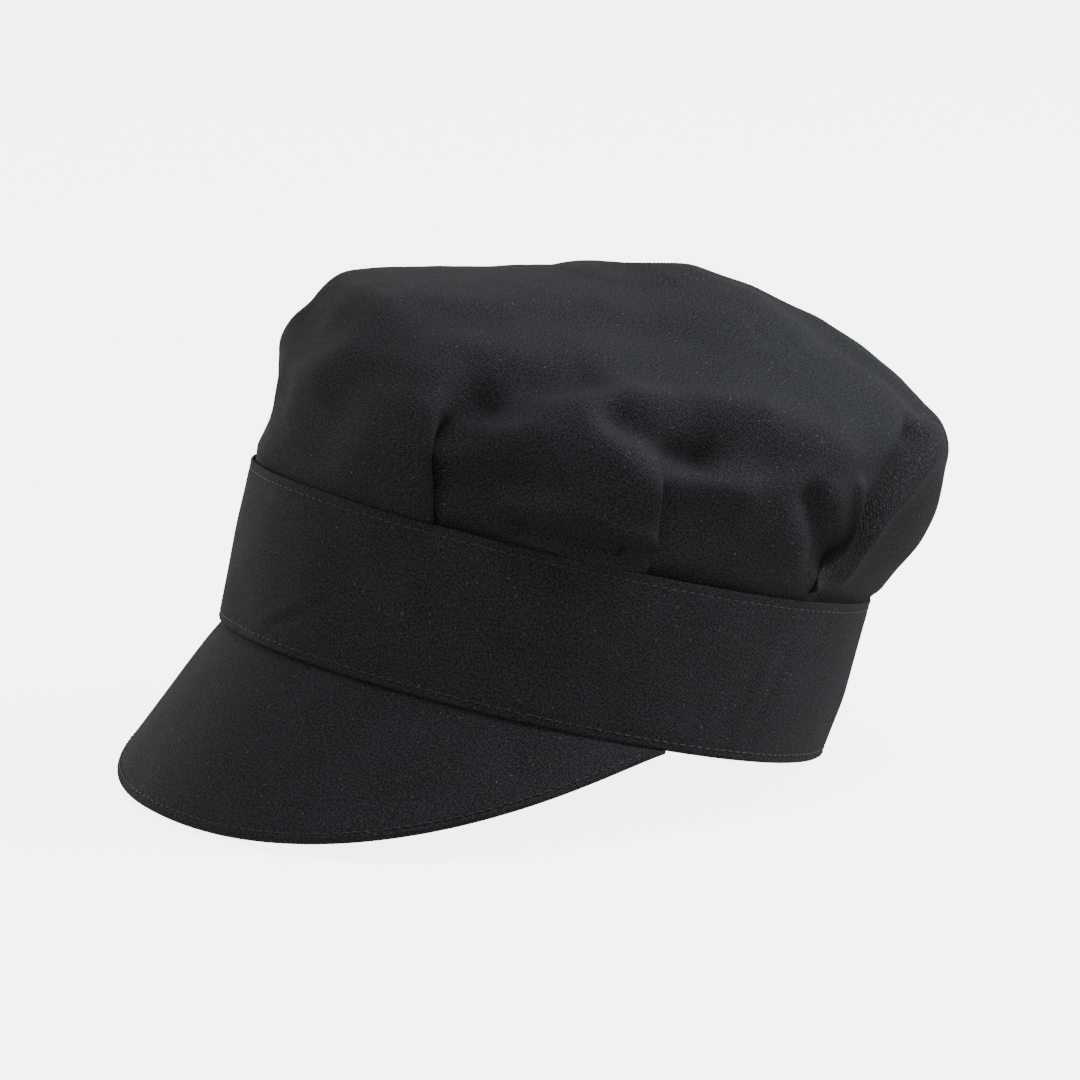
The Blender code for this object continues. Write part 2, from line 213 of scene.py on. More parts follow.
# %% A helper for finishes
class Finish:
    """A material being built: add() makes a node, and surface() sets the shader's sockets."""

    def __init__(self, name):
        self.material = bpy.data.materials.new(name)
        self.material.use_nodes = True
        self.tree = self.material.node_tree
        self.shader = self.tree.nodes["Principled BSDF"]

    def add(self, kind, inputs=None, **settings):
        node = self.tree.nodes.new(kind)
        for key, value in settings.items():
            setattr(node, key, value)
        self.fill(node, inputs or {})
        return node

    def fill(self, node, inputs):
        for key, value in inputs.items():
            if isinstance(value, bpy.types.NodeSocket):
                self.tree.links.new(value, node.inputs[key])
            else:
                node.inputs[key].default_value = value

    def surface(self, **inputs):
        names = {key: key.replace("_", " ") for key in inputs}
        self.fill(self.shader, {names[key]: value for key, value in inputs.items()})

    def math(self, operation, first, second=0.5, clamp=False):
        return self.add("ShaderNodeMath", {0: first, 1: second}, operation=operation,
                        use_clamp=clamp).outputs[0]

    def ramp(self, value, low, high):
        """0 below low, 1 above high."""
        node = self.add("ShaderNodeMapRange", {"Value": value, "From Min": low,
                                               "From Max": high}, clamp=True)
        return node.outputs["Result"]

    def blend(self, share, first, second):
        """A colour between two others."""
        node = self.add("ShaderNodeMix", data_type="RGBA")
        for socket, value in ((node.inputs[0], share), (node.inputs[6], first),
                              (node.inputs[7], second)):
            if isinstance(value, bpy.types.NodeSocket):
                self.tree.links.new(value, socket)
            elif socket.type == "RGBA":
                socket.default_value = (*value, 1.0)
            else:
                socket.default_value = value
        return node.outputs[2]


# %% [markdown]
# Black twill is not flat black. Fine diagonal ribs run across it, the yarns vary a little, it
# greys where it was folded or rubbed, and pale lint clings to it. The ribs are a wave across
# the cloth's own map at 45 degrees, cut into single stitches of yarn by a second, finer wave.
# Both feed the bump. Colour and roughness vary slowly with noise, and lint is two more noises:
# one for specks and one drawn out into hairs. Sheen is what makes dark cloth pale at a glancing
# angle, because the light catches its fuzz.

# %% Black twill
RIB_PITCH = 0.66 * MM
YARN_PITCH = 0.38 * MM


def twill(name, dark, pale, lint, sheen, rib_depth=0.055 * MM, turn=0.0):
    """Diagonal ribs, mottle, lint and sheen, for cloth that has a map in metres."""
    finish = Finish(name)
    where = finish.add("ShaderNodeUVMap", uv_map="cloth").outputs["UV"]
    if turn:
        where = finish.add("ShaderNodeVectorRotate", {"Vector": where, "Angle": turn},
                           rotation_type="Z_AXIS").outputs["Vector"]
    wander = finish.add("ShaderNodeTexNoise", {"Vector": where, "Scale": 800.0, "Detail": 1.0})
    wobble = finish.math("MULTIPLY", wander.outputs["Fac"], 1.3 * RIB_PITCH)
    split = finish.add("ShaderNodeSeparateXYZ", {"Vector": where})
    across = finish.math("ADD", split.outputs["X"], split.outputs["Y"])
    across = finish.math("ADD", across, wobble)
    along = finish.math("SUBTRACT", split.outputs["X"], split.outputs["Y"])
    rib = finish.math("SINE", finish.math("MULTIPLY", across, 2 * pi / (RIB_PITCH * 1.414)))
    yarn = finish.math("SINE", finish.math("MULTIPLY", along, 2 * pi / YARN_PITCH))
    weave = finish.math("ADD", rib, finish.math("MULTIPLY", yarn, 0.35))

    mottle = finish.add("ShaderNodeTexNoise", {"Vector": where, "Scale": 45.0, "Detail": 5.0,
                                               "Roughness": 0.6}).outputs["Fac"]
    grain = finish.add("ShaderNodeTexNoise", {"Vector": where, "Scale": 1500.0, "Detail": 2.0,
                                              "Roughness": 0.7}).outputs["Fac"]
    share = finish.math("ADD", finish.math("MULTIPLY", mottle, 0.18),
                        finish.math("MULTIPLY", grain, 0.82))
    share = finish.ramp(share, 0.41, 0.59)
    ribs = finish.math("MULTIPLY", finish.math("ADD", rib, 1.0), 0.5)
    share = finish.math("ADD", finish.math("MULTIPLY", share, 0.80),
                        finish.math("MULTIPLY", ribs, 0.20))
    colour = finish.blend(share, dark, pale)

    specks = finish.add("ShaderNodeTexNoise", {"Vector": where, "Scale": 900.0, "Detail": 1.0})
    speck = finish.ramp(specks.outputs["Fac"], 0.71, 0.77)
    drawn = finish.add("ShaderNodeMapping", {"Vector": where, "Scale": (2600.0, 420.0, 1.0),
                                             "Rotation": (0.0, 0.0, 0.6)})
    hairs = finish.add("ShaderNodeTexNoise", {"Vector": drawn.outputs["Vector"], "Scale": 1.0,
                                              "Detail": 0.0, "Distortion": 1.2})
    hair = finish.ramp(hairs.outputs["Fac"], 0.845, 0.88)
    dust = finish.math("MAXIMUM", speck, hair)
    dust = finish.math("MULTIPLY", dust, lint, clamp=True)
    colour = finish.blend(dust, colour, (0.115, 0.122, 0.125))

    rough = finish.add("ShaderNodeMapRange", {"Value": mottle, "From Min": 0.3, "From Max": 0.7,
                                              "To Min": 0.66, "To Max": 0.8})
    bump = finish.add("ShaderNodeBump", {"Height": weave, "Distance": rib_depth,
                                         "Strength": 1.0})
    finish.surface(Base_Color=colour, Roughness=rough.outputs["Result"],
                   Normal=bump.outputs["Normal"], Sheen_Weight=sheen, Sheen_Roughness=0.45,
                   Specular_IOR_Level=0.13)
    finish.shader.inputs["Sheen Tint"].default_value = (0.80, 0.85, 0.88, 1.0)
    return finish.material


cap_twill = twill("black cap twill", (0.0030, 0.0040, 0.0048), (0.0330, 0.0370, 0.0405), 0.7,
                  sheen=0.014)
lining_cotton = twill("black lining cotton", (0.0060, 0.0062, 0.0066), (0.0180, 0.0190, 0.0200),
                      0.3, sheen=0.02, rib_depth=0.04 * MM, turn=pi / 4)
print("made", cap_twill.name, "and", lining_cotton.name)

# %% [markdown]
# The band's cloth is one strip. Its lower edge is turned up inside as the hem, its upper edge
# turns in over the crown's seam allowance, and both ends are turned in as well. So its profile
# is walked the way the cloth goes: up the inside of the hem, around the fold, up the face, over
# the top and down again. A plain extruded ring would have knife edges; the two small arcs are
# what catches the light along a sewn edge.

# %% Profile of the band
FOLD = 0.55 * MM
HEM_ROLL = 1.15 * MM
STITCH_INSET = 2.7 * MM
HEM_TURN = 6.0 * MM
TOP_TURN = 4.0 * MM


def arc(centre, radius, first, last, count):
    """Points of an arc in the plane of outward and z, in degrees."""
    turn = np.radians(np.linspace(first, last, count))
    return [(centre[0] + radius * cos(t), centre[1] + radius * sin(t)) for t in turn]


def band_profile(height):
    hem = arc((-HEM_ROLL, HEM_ROLL), HEM_ROLL, -180, 0, 11)
    top = arc((-FOLD, height - FOLD), FOLD, 0, 180, 9)
    face = [(0.0, z) for z in np.linspace(hem[-1][1], top[0][1], 34)[1:-1]]
    inside_hem = [(-2 * HEM_ROLL, HEM_TURN), (-2 * HEM_ROLL, HEM_TURN / 2)]
    inside_top = [(-2 * FOLD, height - TOP_TURN / 2), (-2 * FOLD, height - TOP_TURN)]
    return np.array(inside_hem + hem + face + top + inside_top)


# %% [markdown]
# Stiffened cloth never lies perfectly flat. It carries wide, shallow waves, it draws in along
# every row of stitches, and short puckers run off each row. All of that is less than a
# millimetre, but the highlight on the band would look drawn with a ruler without it. Sums of
# waves with unrelated lengths make it, so it is the same on every run. A crease or two from
# storage are single soft lines.


# %% Unevenness of a stitched, stiffened cloth
def rumple(along, up, size=1.0):
    """Wide shallow waves, in metres, for places in metres along and up the cloth."""
    a, u = along / MM, up / MM
    wave = (np.sin(a / 21 + 0.6 * np.sin(u / 17)) + 0.8 * np.sin(a / 13.3 + u / 29 + 1.3)
            + 0.5 * np.sin(a / 7.1 - u / 11 + 0.4) + 0.35 * np.sin(a / 4.3 + u / 23 + 2.2))
    return wave * size


def drawn_in(distance, along, depth=0.28 * MM):
    """The groove along a row of stitches, and the puckers that run off it."""
    groove = -depth * np.exp(-(distance / (0.75 * MM)) ** 2)
    fade = np.exp(-abs(distance) / (4.0 * MM)) * (1 - np.exp(-(distance / (0.6 * MM)) ** 2))
    pucker = np.sin(along / MM * 2 * pi / 7.3 + 1.7 * np.sin(along / MM / 19))
    pucker = pucker + 0.7 * np.sin(along / MM * 2 * pi / 4.1 + 2.3 * np.sin(along / MM / 31))
    return groove + 0.055 * MM * pucker * fade


def crease(along, up, centre, direction, length, width, depth):
    """A soft straight line pressed into the cloth, centred on a point of its map."""
    turn = radians(direction)
    right, rise = along - centre[0], up - centre[1]
    onward = right * cos(turn) + rise * sin(turn)
    aside = rise * cos(turn) - right * sin(turn)
    fade = np.exp(-(onward / length) ** 4)
    return depth * fade * aside / width * np.exp(0.5 - (aside / width) ** 2)


# %% [markdown]
# The face of the band is then the plain oval plus all of these. Behind the left ear the hem is
# drawn in, and the right front stands out by less than a millimetre.

# %% The band's cloth
columns = np.linspace(BAND_START, UNDERLAP_END, 430)
profile = band_profile(BAND_HEIGHT)
phi_grid, outward_grid = np.meshgrid(columns, profile[:, 0])
_, z_grid = np.meshgrid(columns, profile[:, 1])
run = np.r_[0, np.cumsum(np.hypot(*np.diff(profile, axis=0).T))]
along_grid, up_grid = np.meshgrid(columns * PER_DEGREE, run)


def band_sway(phi, z):
    """How far the whole band, with all its layers, stands off the plain oval."""
    behind_ear = np.exp(-((phi - 140) / 34) ** 2)
    low_share = np.clip(1 - z / BAND_HEIGHT, 0, 1)
    tuck = -0.3 * MM * np.sin(pi * low_share) - 1.9 * MM * smooth_step(1 - z / (22 * MM))
    front = 1.0 * MM * np.exp(-((phi + 28) / 22) ** 2) * smooth_step(low_share * 2)
    return behind_ear * tuck + front


def band_relief(phi, z):
    """How far the band's face stands out of the plain oval."""
    along = phi * PER_DEGREE
    relief = 0.16 * MM * rumple(along, z)
    relief = relief + drawn_in(z - STITCH_INSET, along)
    relief = relief + drawn_in(z - BAND_HEIGHT + STITCH_INSET, along + 0.05)
    relief = relief + crease(along, z, (9 * PER_DEGREE, 13 * MM), 28, 14 * MM, 2.2 * MM,
                             0.42 * MM)
    relief = relief + crease(along, z, (104 * PER_DEGREE, 22 * MM), 78, 16 * MM, 4 * MM,
                             0.55 * MM)
    return relief


def end_roll(phi, first, last, depth=1.4 * MM):
    """The turned-in ends of a strip: how far each column near an end has gone inward."""
    inside = np.minimum(phi - first, last - phi) * PER_DEGREE
    short = np.clip(1 - inside / depth, 0, 1)
    return -depth * (1 - np.sqrt(1 - short ** 2))


on_face = smooth_step(1 + outward_grid / (2 * FOLD))
outward = (outward_grid + on_face * band_relief(phi_grid, z_grid) + underlap_step(phi_grid)
           + band_sway(phi_grid, z_grid) + end_roll(phi_grid, BAND_START, UNDERLAP_END))
band_cloth = add_piece("band_cloth", grid_mesh("band_cloth", oval(phi_grid, outward, z_grid),
                                               np.stack([along_grid, up_grid], axis=-1)),
                       cap_twill, thickness=0.35 * MM,
                       replaces=["band_outer"])
print("band cloth", len(band_cloth.data.polygons), "faces")

# %% [markdown]
# Inside the band, from the outside in, come the interlining, the lining and the sweatband, and
# a tape binds the raw edge of the crown's seam. They are plain upright strips that follow the
# same path. Each keeps a little below the fold of the band's cloth, so that none shows there.


# %% Strips inside the band
def strip(name, outward, low, high, material, node, closed=False, relief=0.0):
    last = BAND_START + 360 if closed else UNDERLAP_END
    angle = np.linspace(BAND_START, last, 300, endpoint=not closed)
    level = np.linspace(low, high, 14)
    angle_grid, level_grid = np.meshgrid(angle, level)
    step = ring_step(angle_grid) if closed else underlap_step(angle_grid)
    edge = np.minimum(level_grid - low, high - level_grid)
    roll = -0.5 * MM * (1 - smooth_step(edge / (1.0 * MM)))
    waves = relief * rumple(angle_grid * PER_DEGREE, level_grid)
    sway = band_sway(angle_grid, level_grid)
    points = oval(angle_grid, outward + step + roll + waves + sway, level_grid)[::-1]
    cloth_map = np.stack([angle_grid * PER_DEGREE, level_grid], axis=-1)[::-1]
    return add_piece(name, grid_mesh(name, points, cloth_map, closed), material,
                     thickness=-0.4 * MM, replaces=[node])


stiff_canvas = twill("charcoal stiffening canvas", (0.030, 0.031, 0.033), (0.060, 0.062, 0.064),
                     0.1, sheen=0.05, rib_depth=0.05 * MM, turn=pi / 4)
strip("band_canvas", -1.35 * MM, 1.8 * MM, BAND_HEIGHT - 5.2 * MM, stiff_canvas,
      "band_interlining")
strip("band_lining_cloth", -2.45 * MM, 1.4 * MM, BAND_HEIGHT - 0.6 * MM, lining_cotton,
      "band_lining", relief=0.05 * MM)
strip("sweatband_cloth", -3.3 * MM, 1.0 * MM, 33.0 * MM, lining_cotton,
      "sweatband", relief=0.08 * MM)
strip("crown_seam_tape", -3.1 * MM, BAND_HEIGHT - 8.0 * MM, BAND_HEIGHT - 0.2 * MM,
      lining_cotton, "crown_seam_binding", closed=True, relief=0.1 * MM)
print("inner strips done")

# %% [markdown]
# The crown is one round piece of the same cloth. Seen from the side it rises almost straight at
# the front, and hangs over the band behind the ears. Four outlines, a quarter turn apart, hold
# that. Each one is a list of shares of the seam's radius and heights over the seam, and the
# surface turns smoothly from one into the next. A list of a few points that can be read is
# easier to correct than a formula.

# %% Outlines of the crown
OUTLINES = {
    -30: [(1.0, 0), (0.970, 12), (0.974, 33), (0.952, 43.5), (0.912, 54.0), (0.855, 60.4),
          (0.74, 64.4), (0.51, 69.4), (0.22, 76.5), (0, 81.8)],
    60: [(1.0, 0), (1.03, 8), (1.06, 20), (1.05, 32), (0.98, 42), (0.86, 52), (0.68, 62),
         (0.45, 71), (0.2, 78), (0, 81.8)],
    150: [(1.0, 0), (1.035, 10.6), (1.083, 21.5), (1.110, 31.5), (1.118, 42), (1.116, 51),
          (1.080, 58.0), (1.005, 62.8), (0.92, 68.2), (0.79, 74.2), (0.65, 79.4), (0.42, 85.4),
          (0.2, 86.3), (0, 81.8)],
    240: [(1.0, 0), (1.04, 10), (1.08, 22), (1.07, 36), (1.0, 48), (0.9, 57), (0.72, 67),
          (0.45, 76), (0.2, 80.5), (0, 81.8)],
}
FIRST_OUTLINE = -30
SAMPLES = 301


def even_outline(outline):
    """The outline rounded off and sampled evenly along its length, and that length."""
    radius, height = np.array(outline, float).T
    step = np.hypot(np.diff(radius) * TOP_A, np.diff(height) * MM)
    place = np.r_[0, np.cumsum(step)]
    share = np.linspace(0, 1, SAMPLES)
    sampled = np.stack([np.interp(share * place[-1], place, radius),
                        np.interp(share * place[-1], place, height * MM)])
    kernel = np.hanning(27)
    kernel /= kernel.sum()
    padded = np.pad(sampled, ((0, 0), (13, 13)), mode="reflect", reflect_type="odd")
    return np.stack([np.convolve(line, kernel, "valid") for line in padded]), place[-1]


even = [even_outline(OUTLINES[key]) for key in sorted(OUTLINES)]
outline_table = np.stack([line for line, _ in even])
outline_length = np.array([length for _, length in even])
print("crown from seam to top, mm", np.round(outline_length / MM, 1))


def outline_weights(phi):
    """Which two outlines an angle lies between, and the share of the second."""
    quarter = np.mod(np.asarray(phi, float) - FIRST_OUTLINE, 360.0) / 90.0
    first = np.floor(quarter).astype(int) % 4
    return first, (first + 1) % 4, smooth_step(quarter - np.floor(quarter))


def crown_length(phi):
    first, second, share = outline_weights(phi)
    return outline_length[first] * (1 - share) + outline_length[second] * share


def crown_base(phi, up):
    """The smooth crown, before pleats and folds, at an angle and a share of the way up."""
    phi, up = np.broadcast_arrays(np.asarray(phi, float), up)
    first, second, share = outline_weights(phi)
    row = np.clip(up, 0, 1) * (SAMPLES - 1)
    low = np.minimum(row.astype(int), SAMPLES - 2)
    part = row - low

    def read(column):
        one = outline_table[first, column, low] * (1 - part)
        one = one + outline_table[first, column, low + 1] * part
        two = outline_table[second, column, low] * (1 - part)
        two = two + outline_table[second, column, low + 1] * part
        return one * (1 - share) + two * share

    radius, height = read(0), read(1)
    angle = np.radians(phi)
    return np.stack([TOP_B * radius * np.sin(angle), -TOP_A * radius * np.cos(angle),
                     BAND_HEIGHT + height], axis=-1)


# %% [markdown]
# A knife pleat is cloth laid back over itself: along the seam you walk forward to the folded
# edge, back under it to the inner fold, and forward again. A sine added to the way along the
# seam does just that when it is strong enough, and as it dies away higher up the pleat opens
# into a soft valley. The folded edges all look towards the back, every pleat with its own depth
# and height, because they were laid by hand.

# %% Pleats
PLEAT_COLUMNS = 22
PANEL_COLUMNS = 20
PLEAT_ZONE = 20.0 * MM
# angle, how deep the cloth is laid back (mm), how high it stays folded (mm), step (mm)
PLEATS = [(-13.0, 2.0, 24, 0.6), (33.0, 9.0, 60, 3.6), (71.5, 9.0, 52, 4.2),
          (110.0, 7.5, 40, 2.6), (149.0, 8.5, 44, 2.6), (189.0, 9.0, 46, 2.8),
          (229.0, 8.0, 40, 3.0), (269.0, 9.0, 48, 2.6), (309.0, 8.0, 42, 2.8)]
CROWN_ROWS = 84

rise = np.linspace(0, 1, CROWN_ROWS) ** 1.06 * 0.985


def pleated_columns():
    """For each column of cloth: its pleat, its place across it, and its angle if left flat."""
    pleat, place, flat = [], [], []
    for number, (angle, *_) in enumerate(PLEATS):
        following = PLEATS[(number + 1) % len(PLEATS)][0]
        following += 360.0 * (number + 1 == len(PLEATS))
        half = PLEAT_ZONE / 2 / PER_DEGREE
        across = np.linspace(-0.5, 0.5, PLEAT_COLUMNS, endpoint=False)
        panel = np.linspace(0, 1, PANEL_COLUMNS, endpoint=False)
        pleat += [number] * (PLEAT_COLUMNS + PANEL_COLUMNS)
        place += list(across) + list(0.5 + panel)
        flat += list(angle + across * 2 * half)
        flat += list(angle + half + panel * (following - angle - 2 * half))
    return np.array(pleat), np.array(place), np.array(flat)


pleat_of, place_of, flat_angle = pleated_columns()
deep, high, step_out = np.array(PLEATS)[pleat_of, 1:].T
next_step = np.array(PLEATS)[(pleat_of + 1) % len(PLEATS), 3]
length_of = crown_length(flat_angle)
height_up = rise[:, None] * length_of[None, :]

laid = deep * MM * (1 - smooth_step(height_up / (high * MM)))
in_pleat = place_of < 0.5
shift = np.where(in_pleat, -laid * np.sin(2 * pi * place_of), 0.0)
crown_phi = flat_angle + shift / PER_DEGREE

opening = (0.24 + 0.76 * smooth_step(height_up / (24 * MM)))
opening = opening * (1 - smooth_step((height_up - 26 * MM) / (44 * MM)))
panel_share = np.clip(place_of - 0.5, 0, 1)
edge_step = np.where(in_pleat, -step_out * np.sin(pi * place_of),
                     -step_out * (1 - smooth_step(panel_share))
                     + next_step * smooth_step(panel_share))
pleat_relief = edge_step * MM * opening
print("crown columns", len(flat_angle), "rows", CROWN_ROWS)

# %% [markdown]
# Above the pleats the spare cloth has to go somewhere, so it runs up in ridges and valleys. Each
# is a short path over the smooth crown, given by angle and height along the cloth, with a width
# and a rise or fall. A point of the cloth moves along its normal by a bell curve of its distance
# to the path, measured in space, so folds keep their width where the crown closes in. The path's
# ends fade by themselves. This keeps every fold where it is given, which a free simulation
# would not.

# %% Folds
# rise in mm (below 0 for a valley), width in mm, then angles and heights along the cloth
FOLDS = [
    (2.0, 10.0, [(-9, 6), (-6, 21), (-2, 31), (6, 41)]),
    (-1.5, 11.0, [(9, 12), (12, 26), (20, 36)]),
    (-3.8, 5.0, [(35, 27), (36.5, 35), (39, 43)]),
    (-3.0, 7.5, [(40, 45), (46, 52), (54, 60)]),
    (-1.5, 13.0, [(66, 74), (82, 79)]),
    (3.4, 7.0, [(37, 20), (47, 32), (55.5, 44), (66, 54), (78, 58), (90, 58)]),
    (1.4, 9.0, [(97, 56), (105, 48)]),
    (-2.2, 5.0, [(38, 15), (46, 20), (56, 21)]),
    (2.4, 5.5, [(60, 38), (65.5, 33), (69, 25)]),
    (-4.4, 6.2, [(63, 44), (70, 41), (78, 41)]),
    (-1.6, 9.0, [(80, 42), (90, 43)]),
    (2.8, 6.0, [(73, 28), (79, 31), (86, 31)]),
    (-3.4, 3.2, [(51, 5.5), (60, 7.5), (69, 5)]),
    (2.2, 4.0, [(48, 12), (60, 14.5), (69, 11)]),
    (-4.4, 4.6, [(99, 32), (104, 20), (109, 7)]),
    (3.4, 3.0, [(112.5, 5), (110.5, 20), (109, 38)]),
    (-5.6, 4.6, [(113, 12), (114, 26), (119, 42), (127, 58)]),
    (3.6, 5.0, [(116, 12), (120, 32), (127, 46), (136, 58)]),
    (-2.2, 9.0, [(138, 58), (139, 72), (138, 88)]),
    (-2.0, 10.0, [(137, 104), (140, 116), (146, 128)]),
    (-1.6, 11.0, [(20, 66), (34, 82), (56, 92), (80, 94)]),
    (0.8, 12.0, [(4, 66), (24, 86), (50, 106)]),
    (-1.2, 12.0, [(100, 84), (118, 92), (132, 96)]),
    (-4.0, 6.5, [(152, 30), (157, 44), (168, 58)]),
    (3.0, 7.0, [(160, 22), (170, 38), (182, 52)]),
    (-4.2, 6.5, [(191, 30), (197, 46), (208, 62)]),
    (3.2, 7.0, [(200, 20), (211, 38), (224, 52)]),
    (-4.4, 6.0, [(231, 28), (236, 42), (248, 54)]),
    (3.0, 6.5, [(240, 20), (250, 36), (264, 48)]),
    (-4.2, 6.5, [(271, 30), (276, 46), (287, 62)]),
    (2.8, 7.0, [(280, 22), (292, 40), (304, 52)]),
    (-4.0, 6.0, [(311, 28), (316, 42), (327, 54)]),
    (2.4, 6.5, [(319, 20), (328, 34), (338, 44)]),
    (-1.6, 12.0, [(200, 92), (232, 100), (266, 98)]),
]


def path_points(places):
    """A path given by angle and height in mm, as closely spaced points on the smooth crown."""
    angle, up = np.array(places, float).T
    place = np.linspace(0, len(places) - 1, 12 * (len(places) - 1) + 1)
    knots = np.arange(len(places))
    angle, up = np.interp(place, knots, angle), np.interp(place, knots, up)
    return crown_base(angle, up * MM / crown_length(angle))


def distance_to(points, path):
    """How far each point of a grid is from the nearest point of a path."""
    flat = points.reshape(-1, 3)
    square = ((flat[:, None, :] - path[None, :, :]) ** 2).sum(axis=-1)
    return np.sqrt(square.min(axis=1)).reshape(points.shape[:-1])


def grid_normals(points):
    """Outward unit normals of a closed grid of columns."""
    around = np.roll(points, -1, axis=1) - np.roll(points, 1, axis=1)
    upward = np.gradient(points, axis=0)
    normal = np.cross(around, upward)
    return normal / np.maximum(np.linalg.norm(normal, axis=-1, keepdims=True), 1e-12)


smooth_crown = crown_base(flat_angle[None, :], rise[:, None])
fold_relief = np.zeros(smooth_crown.shape[:2])
for rise_mm, width, places in FOLDS:
    near = distance_to(smooth_crown, path_points(places)) / (width * MM)
    fold_relief += rise_mm * MM * np.exp(-near ** 2)
fold_relief *= smooth_step(height_up / (5 * MM))
print(f"folds from {fold_relief.min() / MM:.1f} to {fold_relief.max() / MM:.1f} mm")

# %% [markdown]
# The pieces come together: the pleated columns are placed, pushed out by pleat and fold, and
# given small crumples. The lowest rows go down inside the band as the seam allowance, just
# behind the turned-in edge of its cloth. The map is that of the flat round piece: a pleat takes
# up more of it at the seam, and less once it has opened.

# %% The crown's cloth
SEAM_ALLOWANCE = 4.0 * MM
SEAM_INSET = 1.45 * MM
PLEAT_OPEN = 60.0 * MM
CROWN_RADIUS = float(outline_length.mean()) + SEAM_ALLOWANCE

placed = crown_base(crown_phi, np.broadcast_to(rise[:, None], crown_phi.shape))
placed_normal = grid_normals(crown_base(flat_angle[None, :], rise[:, None]))
crumple = 0.22 * MM * rumple(1.3 * smooth_crown[..., 0] + 0.8 * smooth_crown[..., 2],
                             1.3 * smooth_crown[..., 1])
crumple *= smooth_step(height_up / (12 * MM))
seam_in = -SEAM_INSET * (1 - smooth_step(height_up / (5 * MM)))
step_in = ring_step(crown_phi) * (1 - smooth_step(height_up / (26 * MM)))
relief = pleat_relief + fold_relief + crumple + seam_in + step_in
placed = placed + placed_normal * relief[..., None]

allowance = []
for down in (1.0, 0.5):
    row = placed[0].copy()
    row[:, :2] *= 1 - 0.35 * MM * down / TOP_A
    row[:, 2] -= SEAM_ALLOWANCE * down
    allowance.append(row)
placed = np.concatenate([np.array(allowance), placed])

at_seam = np.radians(flat_angle[0]) + np.linspace(0, 2 * pi, len(flat_angle), endpoint=False)
open_share = smooth_step(height_up / PLEAT_OPEN)
open_share = np.concatenate([np.zeros((2, len(flat_angle))), open_share])
turn = at_seam * (1 - open_share) + np.radians(flat_angle) * open_share
reach = CROWN_RADIUS - np.r_[0, SEAM_ALLOWANCE / 2, SEAM_ALLOWANCE + rise * outline_length.mean()]
crown_map = np.stack([reach[:, None] * np.cos(turn), reach[:, None] * np.sin(turn)], axis=-1)
pole = crown_base(0.0, 1.0)
crown_mesh = grid_mesh("crown_cloth_visual", placed, crown_map, closed=True, pole=pole)
crown_piece = add_piece("crown_twill", crown_mesh, cap_twill,
                        replaces=["crown_cloth"])

# %% [markdown]
# Folds that a formula makes are too even. A short cloth simulation lets the shape settle the way
# cloth does: the seam is held, the rest is drawn only softly to where it was laid, and the
# cloth is told that it is slightly larger than it is, so the spare cloth buckles. Twill is too
# stiff for wrinkles as fine as the grid, so only the broad part of the movement is kept. The
# result is applied, so the finished piece is a plain mesh, and a point may move by a millimetre
# and a half at most, which keeps the outline. The pressed folds low down are held too.

# %% Let the crown settle
SETTLE_FRAMES = 14
SPARE_CLOTH = 0.02
HOLD = 0.15
MOST_MOVED = 1.4 * MM
SMOOTHINGS = 10
PRESSED = 38.0 * MM
SEAM_ROWS, TOP_ROWS = 3, 12


def broad(moved, columns):
    """The broad part of a movement over the grid of a closed piece; the pole comes last."""
    grid = moved[:-1].reshape(-1, columns, 3).copy()
    for _ in range(SMOOTHINGS):
        sides = (np.roll(grid, 1, axis=1) + np.roll(grid, -1, axis=1)) / 2
        rows = grid.copy()
        rows[1:-1] = (grid[:-2] + grid[2:]) / 2
        grid = 0.34 * grid + 0.33 * sides + 0.33 * rows
    return np.vstack([grid.reshape(-1, 3), grid[-1].mean(axis=0, keepdims=True)])


def settle(piece, hold, columns):
    """Relax a mesh as cloth, with a hold of 1 where it is fixed and less where it may move."""
    mesh = piece.data
    before = np.zeros(len(mesh.vertices) * 3)
    mesh.vertices.foreach_get("co", before)
    group = piece.vertex_groups.new(name="held")
    for level in np.unique(np.round(hold, 2)):
        members = np.flatnonzero(np.round(hold, 2) == level)
        group.add(members.tolist(), float(level), "REPLACE")
    modifier = piece.modifiers.new("settle", "CLOTH")
    cloth = modifier.settings
    cloth.quality = 6
    cloth.mass = 0.15
    cloth.tension_stiffness = cloth.compression_stiffness = 12.0
    cloth.shear_stiffness = 6.0
    cloth.bending_stiffness = 6.0
    cloth.vertex_group_mass = "held"
    cloth.pin_stiffness = 1.0
    cloth.shrink_min = -SPARE_CLOTH
    cloth.effector_weights.gravity = 0.3
    modifier.collision_settings.use_collision = False
    modifier.point_cache.frame_start, modifier.point_cache.frame_end = 1, SETTLE_FRAMES
    for frame_number in range(1, SETTLE_FRAMES + 1):
        bpy.context.scene.frame_set(frame_number)
    shape = piece.evaluated_get(bpy.context.evaluated_depsgraph_get())
    after = np.zeros_like(before)
    shape.data.vertices.foreach_get("co", after)
    piece.modifiers.remove(modifier)
    piece.vertex_groups.remove(group)
    bpy.context.scene.frame_set(1)
    moved = broad((after - before).reshape(-1, 3), columns)
    distance = np.linalg.norm(moved, axis=1, keepdims=True)
    soft = np.tanh(distance / MOST_MOVED) * MOST_MOVED / np.maximum(distance, 1e-9)
    mesh.vertices.foreach_set("co", (before.reshape(-1, 3) + moved * soft).ravel())
    mesh.update()
    print(f"settled, moved {np.mean(distance) / MM:.2f} mm on average, "
          f"{np.max(distance) / MM:.1f} mm at most before the limit")


